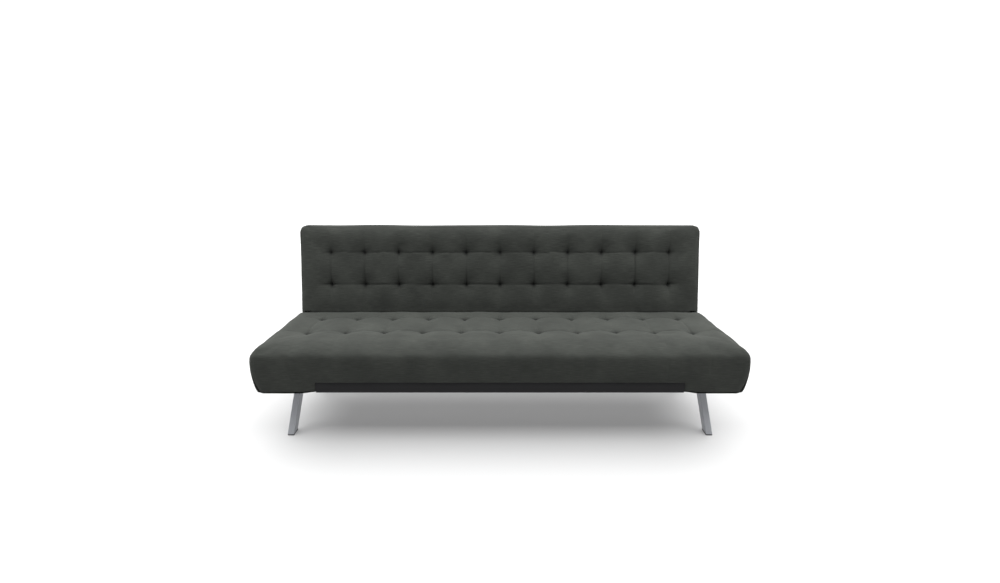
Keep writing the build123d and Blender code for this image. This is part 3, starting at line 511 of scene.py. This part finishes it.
def tuft_pull(a, b, columns, rows, depth, seed):
    """How far the cloth is pulled in round the tufts, and how much painted shade darkens it there.

    Each tuft is a sharp dimple, a wide hollow round it and a cross of four creases that fade out
    along its two arms: depth times exp(-distance/size) plus depth times exp(-(distance/size)^2)."""
    source = np.random.default_rng(seed)
    total = np.zeros_like(a)
    painted_shade = np.zeros_like(a)
    for row in rows:
        for column in columns:
            strength = depth * source.uniform(0.85, 1.15)
            tilt = source.uniform(-0.10, 0.10)
            da = a - column
            db = b - row
            u = da * math.cos(tilt) + db * math.sin(tilt)
            v = db * math.cos(tilt) - da * math.sin(tilt)
            distance = np.hypot(u, v)
            near = 1 - np.exp(-(distance / ARM_START) ** 2)
            total += strength * DIMPLE_SHARE * np.exp(-distance / DIMPLE)
            total += strength * (1 - DIMPLE_SHARE) * np.exp(-(distance / HOLLOW) ** 2)
            # painted shade in the dimple and, below, along each crease arm
            painted_shade = np.maximum(painted_shade, 0.95 * np.exp(-(distance / DIMPLE_SHADE) ** 2))
            for along, across, part in ((u, v, ARM_ACROSS), (v, u, ARM_ALONG)):
                for sign in (-1, 1):
                    reach = source.uniform(18, 40) * MM
                    arm = np.where(along * sign > 0, np.exp(-np.abs(along) / reach), 0)
                    line = arm * np.exp(-(across / ARM_WIDTH) ** 2)
                    total += part * strength * line * near
                    painted_shade = np.maximum(painted_shade, 0.8 * line * np.exp(-np.abs(along) / ARM_SHADE))
    return total, painted_shade


def crease_line(across, along, low, high, depth, width, seed):
    """A long pulled line: a narrow hollow whose depth comes and goes along it.

    Across, depth times exp(-(distance/width)^2); along, a slow sine between two soft ends."""
    rise = 1 / (1 + np.exp(-(along - low) / CREASE_END))
    fall = 1 / (1 + np.exp((along - high) / CREASE_END))
    source = np.random.default_rng(seed)
    vary = 0.65 + 0.35 * np.sin(along / (37 * MM) + source.uniform(0, 6))
    wander = 1.2 * MM * np.sin(along / (53 * MM) + source.uniform(0, 6))
    return depth * vary * rise * fall * np.exp(-((across - wander) / width) ** 2)


def column_creases(x, along, columns, low, high, depth, seed):
    """Crease lines over every column of tufts, added up."""
    return sum(crease_line(x - column, along, low, high, depth, CREASE_WIDTH, seed + number)
               for number, column in enumerate(columns))


def soft_face(x, y, low, high, lump_size, seed):
    """A face without its tufts, measured down from its highest plane: a crown with soft lumps.

    The crown is sqrt(1 - (x/side)^2) across times sin(pi t)^0.6 along."""
    across = np.clip(1 - (x / high[0]) ** 2, 0, 1)
    crown = CROWN * across ** 0.5 * np.sin(math.pi * share(y, low[1], high[1])) ** 0.6
    lumps = 1.4 * MM * waves(x, y, lump_size, 7, seed) + 0.5 * MM * waves(x, y, 0.06, 9, seed + 1)
    return crown - CROWN + lumps


def inside_hem(x, y, low, high, rear_hem):
    """Where a cushion's underside is open, inside the hem that is turned in at its edges."""
    return (x > low[0] + HEM) & (x < high[0] - HEM) & (y > low[1] + HEM) & (y < high[1] - rear_hem)


FACE_HOLD = 0.02  # how firmly points are held while the cover swells, from 0 to 1
SIDE_HOLD = 0.22
TIE_RADIUS = 6.0 * MM  # held fully, round each tuft
SWELL_PRESSURE = 3.0
SWELL_LIMIT = 9.0 * MM
SWELL_FRAMES = 16


def held(x, y, on_face, columns, rows):
    """How firmly each point is held: fully at the tufts, hardly on the face, a little elsewhere."""
    nearest = np.min([np.hypot(x - c, y - r) for c in columns for r in rows], axis=0)
    return np.where(on_face & (nearest < TIE_RADIUS), 1.0, np.where(on_face, FACE_HOLD, SIDE_HOLD))


def drape(piece, hold):
    """Cloth simulation: the cover swells over its foam while the held points stay.

    Points move at most SWELL_LIMIT from where they started; the result goes into the mesh."""
    mesh = piece.data
    start = vertex_places(mesh)
    group = piece.vertex_groups.new(name="hold")
    levels = np.round(np.clip(hold, 0, 1) * 20) / 20
    for level in np.unique(levels):
        group.add(np.nonzero(levels == level)[0].tolist(), float(level), "REPLACE")
    cloth = piece.modifiers.new("drape", "CLOTH")
    settings = cloth.settings
    settings.quality = 5
    settings.mass = 0.3
    settings.air_damping = 4.0
    settings.tension_stiffness = 18
    settings.compression_stiffness = 12
    settings.shear_stiffness = 6
    settings.bending_stiffness = 0.8
    settings.use_pressure = True
    settings.uniform_pressure_force = SWELL_PRESSURE
    settings.vertex_group_mass = "hold"
    settings.pin_stiffness = 1.2
    settings.effector_weights.gravity = 0
    cloth.collision_settings.use_collision = False
    cloth.collision_settings.use_self_collision = False
    cloth.point_cache.frame_start = 1
    cloth.point_cache.frame_end = SWELL_FRAMES
    scene = bpy.context.scene
    for step in range(1, SWELL_FRAMES + 1):
        scene.frame_set(step)
    swollen = piece.evaluated_get(bpy.context.evaluated_depsgraph_get())
    move = vertex_places(swollen.data) - start
    piece.modifiers.remove(cloth)
    piece.vertex_groups.remove(group)
    length = np.linalg.norm(move, axis=1, keepdims=True)
    move *= np.minimum(1, SWELL_LIMIT / np.maximum(length, LEAST_LENGTH))
    mesh.vertices.foreach_set("co", (start + move).astype(np.float32).ravel())
    mesh.update()
    scene.frame_set(1)


def sewn_cover(name, points, quads, cloth, painted_shade, hold):
    """A cushion's cover in charcoal cloth, swollen over its foam and subdivided once."""
    piece = make_mesh(name, points, quads, charcoal_cloth, cloth, painted_shade)
    drape(piece, hold)
    smooth = piece.modifiers.new("smooth", "SUBSURF")
    smooth.levels = 1
    smooth.render_levels = 1
    return piece


# ---------------------------------------------------------------- seat cushion

NOTCH_SIDE_GAP = 0.3 * MM  # the notch in the hem clears the front board by these
NOTCH_TOP_GAP = 0.5 * MM
NOTCH_DEPTH = 6.0 * MM  # the hem steps back this far behind the board's face
HOLD_MARGIN = 8.0 * MM  # round a notch or slit, held fully
FRONT_LINE = 4.0 * MM  # grid lines on the small edges at the front and along the bottom
LOWER_LINES = (2.0 * MM, 5.0 * MM)
SEAT_FRONT_BULGE = 5.0 * MM
SEAT_FRONT_RECEDE = 14.0 * MM  # the hem stands this far back from the top
SEAT_SIDE_SWELL = 13.0 * MM
SEAT_SIDE_WAIST = 3.0 * MM  # the sides pull in between their corners, and again at the hem
SEAT_SAG = 7.0 * MM


def seat_pull(x, y, low, columns):
    """How far tufts and creases pull the seat's top down, and how much painted shade darkens it."""
    pull, painted_shade = tuft_pull(x, y, columns, SEAT_TUFT_ROWS, SEAT_TUFT_DEPTH, 5)
    front_row, rear_row = SEAT_TUFT_ROWS
    pull += column_creases(x, y, columns, front_row, rear_row, 1.6 * MM, 20)
    pull += column_creases(x, y, columns, low[1] + 20 * MM, front_row, 0.8 * MM, 40)
    for number, row in enumerate(SEAT_TUFT_ROWS):
        pull += crease_line(y - row, x, columns[0], columns[-1], 1.4 * MM, CREASE_WIDTH, 60 + number)
    return pull, painted_shade


def seat_front(x, z, low, high, columns):
    """How far the seat's front stands out: a sine bulge that recedes to the hem, with creases."""
    height = share(z, low[2], high[2])
    bulge = SEAT_FRONT_BULGE * np.sin(math.pi * height) - SEAT_FRONT_RECEDE * (1 - height) ** 2
    marks = column_creases(x, z, columns, low[2] + 60 * MM, high[2], 1.3 * MM, 80)
    return bulge - SEAT_FRONT_BULGE - marks + 1.0 * MM * waves(x, z, 0.22, 6, 9)


def seat_sides(y, height, low, high):
    """How far the seat's sides swell: a sine over the height, most at the front, less a waist."""
    ahead = 0.4 + 0.6 * step_out(y, low[1] + 180 * MM, 300 * MM)
    swell = SEAT_SIDE_SWELL * np.sin(math.pi * height ** 0.9) ** 0.8 * ahead
    swell -= SEAT_SIDE_WAIST * np.sin(math.pi * share(y, low[1], high[1]))
    return swell - SEAT_SIDE_WAIST * np.clip(1 - height / 0.16, 0, 1) ** 2


def seat_cushion():
    """The seat's cover over its foam: a crowned slab, tufted on top, hollow underneath."""
    low, high = local_box("seat_cover", seat_plane)
    board_low, board_high = local_box("seat_front_board", seat_plane)
    side = high[0]
    columns = tuft_columns(side)
    notch_side = board_high[0] + NOTCH_SIDE_GAP
    notch_top = board_high[2] + NOTCH_TOP_GAP
    xs = with_lines(refined(low[0], high[0], SEAT_STEPS[0], columns), seam_lines(low[0], high[0]),
                    beside((-notch_side, notch_side, low[0] + HEM, high[0] - HEM)))
    ys = with_lines(refined(low[1], high[1], SEAT_STEPS[1], SEAT_TUFT_ROWS), [low[1] + FRONT_LINE],
                    beside((low[1] + HEM, high[1] - SEAT_REAR_HEM)))
    zs = with_lines(refined(low[2], high[2], SEAT_STEPS[2], (notch_top,), NOTCH_STEP, NOTCH_STEP),
                    low[2] + np.array(LOWER_LINES))
    sharp, quads, cloth = box_surface(xs, ys, zs)
    x, y, z = sharp.T
    height = share(z, low[2], high[2])
    on_top = z > high[2] - TOUCH
    under = z < low[2] + TOUCH
    # a sewn seam runs along each side of the top and down the front
    seam = seam_mark(np.abs(x), side) * (z > low[2] + 12 * MM)
    points = round_seat(sharp, low, high, SEAM_DEPTH * seam)
    # the top
    top = step_in(points[:, 2], high[2] - FACE_RUN, FACE_RUN)
    pull, painted_shade = seat_pull(x, y, low, columns)
    # painted shade in the top's tufts and in the seams
    painted_shade = np.maximum(painted_shade * on_top, SEAM_SHADE * seam)
    points[:, 2] += top * (soft_face(x, y, low, high, 0.19, 3) - pull)
    # the front and the two sides
    front = step_out(y, low[1] + 3 * MM, 6 * MM) * (1 - top)
    points[:, 1] -= front * seat_front(x, z, low, high, columns)
    outer = step_in(np.abs(points[:, 0]), side - 25 * MM, 50 * MM)
    points[:, 0] += np.sign(x) * outer * seat_sides(y, height, low, high)
    # the hem hangs a little lower outside the strip of board
    sag = step_in(np.abs(x), notch_side + 30 * MM, 60 * MM) * step_out(y, low[1] + 120 * MM, 200 * MM)
    points[:, 2] -= SEAT_SAG * sag * (1 - height) ** 2
    # the notch in the front hem: the cloth steps back behind the dark board
    notch = (np.abs(x) < notch_side) & (z < notch_top) & (y < low[1] + HEM + 2 * MM)
    points[notch, 1] = np.maximum(points[notch, 1], board_low[1] + NOTCH_DEPTH)
    # underneath, the hem turns in and the inside is open up to the felt pad
    hollow = under & inside_hem(x, y, low, high, SEAT_REAR_HEM)
    points[hollow, 2] = local_box("seat_felt_pad", seat_plane)[1][2] + FELT_GAP
    hold = held(x, y, on_top, columns, SEAT_TUFT_ROWS)
    near_notch = (np.abs(x) < notch_side + HOLD_MARGIN) & (z < notch_top + HOLD_MARGIN)
    hold[near_notch & (y < low[1] + MM)] = 1.0
    hold[under | notch | (z < low[2] + 10 * MM) | (y > high[1] - TOUCH)] = 1.0
    piece = sewn_cover("seat_cushion", seat_plane.to_world(points), quads, cloth, painted_shade, hold)
    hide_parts("seat_cover", "seat_foam")
    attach(piece, "seat")


# ---------------------------------------------------------------- back cushion

SLIT_INNER_GAP = 6.0 * MM  # a hinge slit clears the seat's bracket and the pawl's pin by these
SLIT_OUTER_GAP = 3.0 * MM
SLIT_LINES = 0.7 * MM  # grid lines lie this far to either side of a slit's edge
SLIT_LIP = 22.0 * MM  # the slit's height in the cloth of the front
SLIT_HEIGHT = 70.0 * MM  # and behind it
LIP_THICKNESS = 13.0 * MM
SLIT_SLOPE = 0.02  # keeps the points at the head of a slit apart
COLUMN_FOLD = 2.0 * MM  # depth of the folds between the two rows of tufts
LOW_FOLD = 2.6 * MM  # depth of the long fold over the lower row
BACK_WAIST = 3.0 * MM
TOP_LOWERED = 2.5 * MM


def back_pull(x, y, low, high, columns):
    """How far tufts, folds and creases pull the back's front in, and how much painted shade darkens it.
    """
    lower_row, upper_row = BACK_TUFT_ROWS
    pull, painted_shade = tuft_pull(x, y, columns, BACK_TUFT_ROWS, BACK_TUFT_DEPTH, 15)
    # painted shade in each fold between the two rows, a random share for each column
    fold_shade_share = np.random.default_rng(16).uniform(0.1, 0.55, TUFT_COLUMNS)
    for number, column in enumerate(columns):
        fold = crease_line(x - column, y, lower_row, upper_row, COLUMN_FOLD, CREASE_WIDTH, 120 + number)
        pull += fold
        painted_shade = np.maximum(painted_shade, fold_shade_share[number] * fold / COLUMN_FOLD)
    pull += column_creases(x, y, columns, upper_row, high[1] + 20 * MM, 1.2 * MM, 140)
    pull += column_creases(x, y, columns, low[1], lower_row, 1.2 * MM, 160)
    fold = crease_line(y - lower_row, x, columns[0] - 40 * MM, columns[-1] + 40 * MM, LOW_FOLD,
                       5 * MM, 180)
    pull += fold
    pull += crease_line(y - upper_row, x, columns[0], columns[-1], 0.5 * MM, CREASE_WIDTH, 181)
    # and a little painted shade along the low fold
    return pull, np.maximum(painted_shade, 0.3 * fold / LOW_FOLD)


def back_cushion():
    """The back's cover over its foam: a tufted slab with slits for the hinges at its lower end."""
    low, high = local_box("back_cover", back_plane)
    low[2] = local_box("back_rear_panel", back_plane)[1][2]
    side = high[0]
    columns = tuft_columns(side)
    bracket_x = node_points("hinge_seat_bracket_right")[:, 0]
    pin_x = node_points("hinge_pawl_pins")[:, 0]
    slit_in = bracket_x.min() - SLIT_INNER_GAP
    slit_out = max(bracket_x.max(), pin_x.max()) + SLIT_OUTER_GAP
    xs = with_lines(refined(low[0], high[0], BACK_STEPS[0], columns), seam_lines(low[0], high[0]),
                    beside((-slit_out, -slit_in, slit_in, slit_out), SLIT_LINES),
                    beside((low[0] + HEM, high[0] - HEM)))
    ys = with_lines(refined(low[1], high[1], BACK_STEPS[1], BACK_TUFT_ROWS),
                    seam_lines(low[1], high[1]), beside((low[1] + HEM, high[1] - HEM)))
    zs = refined(low[2], high[2], BACK_STEPS[2], ())
    sharp, quads, cloth = box_surface(xs, ys, zs)
    x, y, z = sharp.T
    on_front = z > high[2] - TOUCH
    behind = z < low[2] + TOUCH
    # a sewn seam runs up both sides of the front and along its top
    seam = np.maximum(seam_mark(np.abs(x), side), seam_mark(y, high[1])) * on_front
    points = round_back(sharp, low, high, SEAM_DEPTH * seam)
    # the front
    front = step_in(points[:, 2], high[2] - FACE_RUN, FACE_RUN)
    pull, painted_shade = back_pull(x, y, low, high, columns)
    # painted shade in the front's tufts and folds and in the seams
    painted_shade = np.maximum(painted_shade * on_front, SEAM_SHADE * seam)
    points[:, 2] += front * (soft_face(x, y, low, high, 0.17, 31) - pull)
    # the top end is a little uneven, and each side pulls in between its corners
    top_end = step_in(points[:, 1], high[1] - 25 * MM, 25 * MM)
    points[:, 1] += top_end * (2.0 * MM * waves(x, 0 * x, 0.31, 5, 33) - TOP_LOWERED)
    waist = BACK_WAIST * np.sin(math.pi * share(y, low[1], high[1]))
    waist *= np.sin(math.pi * share(z, low[2], high[2])) * (np.abs(x) > side - TOUCH)
    points[:, 0] -= np.sign(x) * waist
    # the hinge slits: low in the cloth of the front, higher behind it
    in_slit = (np.abs(x) > slit_in) & (np.abs(x) < slit_out)
    head = low[1] + np.where(points[:, 2] > high[2] - LIP_THICKNESS, SLIT_LIP, SLIT_HEIGHT)
    head += SLIT_SLOPE * (points[:, 1] - low[1])
    points[in_slit, 1] = np.maximum(points[in_slit, 1], head[in_slit])
    # behind, the hem turns in and the inside is open up to the felt pad
    hollow = behind & inside_hem(x, y, low, high, HEM)
    points[hollow, 2] = local_box("back_felt_pad", back_plane)[1][2] + FELT_GAP
    hold = held(x, y, on_front, columns, BACK_TUFT_ROWS)
    near_slit = (np.abs(x) > slit_in - HOLD_MARGIN) & (np.abs(x) < slit_out + HOLD_MARGIN)
    hold[near_slit & (points[:, 1] < low[1] + SLIT_HEIGHT + 10 * MM)] = 1.0
    hold[behind | (z < low[2] + 12 * MM) | (y < low[1] + TOUCH) | (points[:, 1] < 4 * MM)] = 1.0
    piece = sewn_cover("back_cushion", back_plane.to_world(points), quads, cloth, painted_shade, hold)
    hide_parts("back_cover", "back_foam")
    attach(piece, "back")


# ---------------------------------------------------------------- floor, light and camera

SWEEP_SIDE = 14.0  # the sweep's half width, its front and rear ends, its height and its bend
SWEEP_FRONT = -6.0
SWEEP_REAR = 7.0
SWEEP_HEIGHT = 7.0
SWEEP_BEND = 1.6


def glowing_white_paint():
    """Rolled wall paint: even and without shine, with a painted glow that grows towards the rear. The
    glow is painted light: it stands for a lit backdrop, it lifts the shade on the floor round and under
    the sofa, and its smooth start keeps the horizon from showing."""
    material, shader = new_material("white paint with painted glow")
    shader.inputs["Base Color"].default_value = srgb("#b6b6b6")
    shader.inputs["Roughness"].default_value = 0.9
    place = add_node(material, "ShaderNodeTexCoord").outputs["Object"]
    depths = add_node(material, "ShaderNodeSeparateXYZ", inputs={"Vector": place})
    # painted light: emission from a faint glow on the floor to a bright one on the backdrop
    glow = add_node(material, "ShaderNodeMapRange", interpolation_type="SMOOTHSTEP",
                    inputs={"Value": depths.outputs["Y"], "From Min": 0.8, "From Max": 4.0,
                            "To Min": 0.18, "To Max": 0.85})
    material.node_tree.links.new(glow.outputs["Result"], shader.inputs["Emission Strength"])
    shader.inputs["Emission Color"].default_value = srgb("#ffffff")
    return material


def studio_sweep():
    """A seamless floor and backdrop: a profile of floor, quarter circle and wall, drawn sideways."""
    angles = np.linspace(0, math.pi / 2, 24)
    bend = [SWEEP_REAR - SWEEP_BEND + SWEEP_BEND * np.sin(angles),
            SWEEP_BEND - SWEEP_BEND * np.cos(angles)]
    profile = np.concatenate([[[SWEEP_FRONT, 0.0]], np.stack(bend, axis=1),
                              [[SWEEP_REAR, SWEEP_HEIGHT]]])
    points = np.array([(x, y, z) for y, z in profile for x in (-SWEEP_SIDE, SWEEP_SIDE)])
    first = 2 * np.arange(len(profile) - 1)
    quads = np.stack([first, first + 1, first + 3, first + 2], axis=1)
    make_mesh("studio_sweep", points, quads, glowing_white_paint())


def room_light():
    """A faint, slightly cool light from all round."""
    world = bpy.data.worlds.new("soft room light")
    world.use_nodes = True
    background = world.node_tree.nodes["Background"]
    background.inputs["Color"].default_value = srgb("#fafcff")
    background.inputs["Strength"].default_value = 0.16
    bpy.context.scene.world = world


def overhead_light():
    """A large soft box over the sofa, facing straight down as an area light does unturned."""
    light = bpy.data.lights.new("overhead_soft_box", "AREA")
    light.shape = "RECTANGLE"
    light.size = 9.0
    light.size_y = 5.0
    light.energy = 580
    lamp = bpy.data.objects.new("overhead_soft_box", light)
    lamp.location = (0, 0.5, 3.2)
    bpy.context.scene.collection.objects.link(lamp)


def camera():
    """A wide view from chest height, square to the sofa's front."""
    focal_share = 0.4708  # focal length and upward shift as shares of the image's width
    shift_share = 0.0289
    distance = 1.9815  # in front of the crease
    height = 1.1273
    down = math.radians(22.05)
    data = bpy.data.cameras.new("front camera")
    data.sensor_width = 36.0
    data.lens = focal_share * data.sensor_width
    data.shift_y = shift_share
    data.clip_end = 60
    eye = bpy.data.objects.new("front_camera", data)
    eye.location = (0, crease[1] - distance, height)
    eye.rotation_euler = (math.pi / 2 - down, 0, 0)
    bpy.context.scene.collection.objects.link(eye)
    bpy.context.scene.camera = eye


camera()
finish_cad_nodes()
seat_cushion()
back_cushion()
studio_sweep()
room_light()
overhead_light()
bpy.context.scene.view_settings.view_transform = "Standard"
